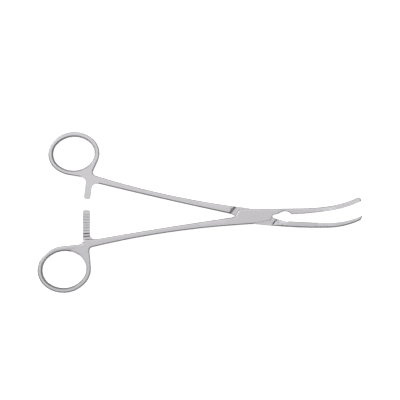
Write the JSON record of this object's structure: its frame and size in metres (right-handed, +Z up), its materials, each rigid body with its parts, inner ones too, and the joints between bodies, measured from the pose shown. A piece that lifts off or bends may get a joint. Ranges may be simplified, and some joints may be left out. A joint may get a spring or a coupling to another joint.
{
  "type": "dissecting forceps",
  "caption": "Ring-handled box-lock forceps with long shanks, curved jaws and ratchet arms, lying slightly open on a flat surface.",
  "frame": {"origin": "on the axis of the lock, on the flat underside of the lock, where the part rests on the table", "axes": "+X along the instrument from the lock to the jaws, +Z up out of the lock's flat side along the pin, +Y towards the side the jaws curve to"},
  "size_m": [0.2015, 0.0998, 0.0054],
  "materials": {
    "forged_steel": "satin",
    "pin_steel": "satin"
  },
  "bodies": {
    "box_side": {"box_half": "forged_steel", "lock_pin": "pin_steel"},
    "tang_side": {"tang_half": "forged_steel"}
  },
  "joints": [
    {"name": "box_lock", "type": "hinge", "parent": "box_side", "child": "tang_side", "pos_m": [0, 0, 0.0027], "axis": [0, 0, 1], "range_deg": [-30, 7.5]}
  ]
}
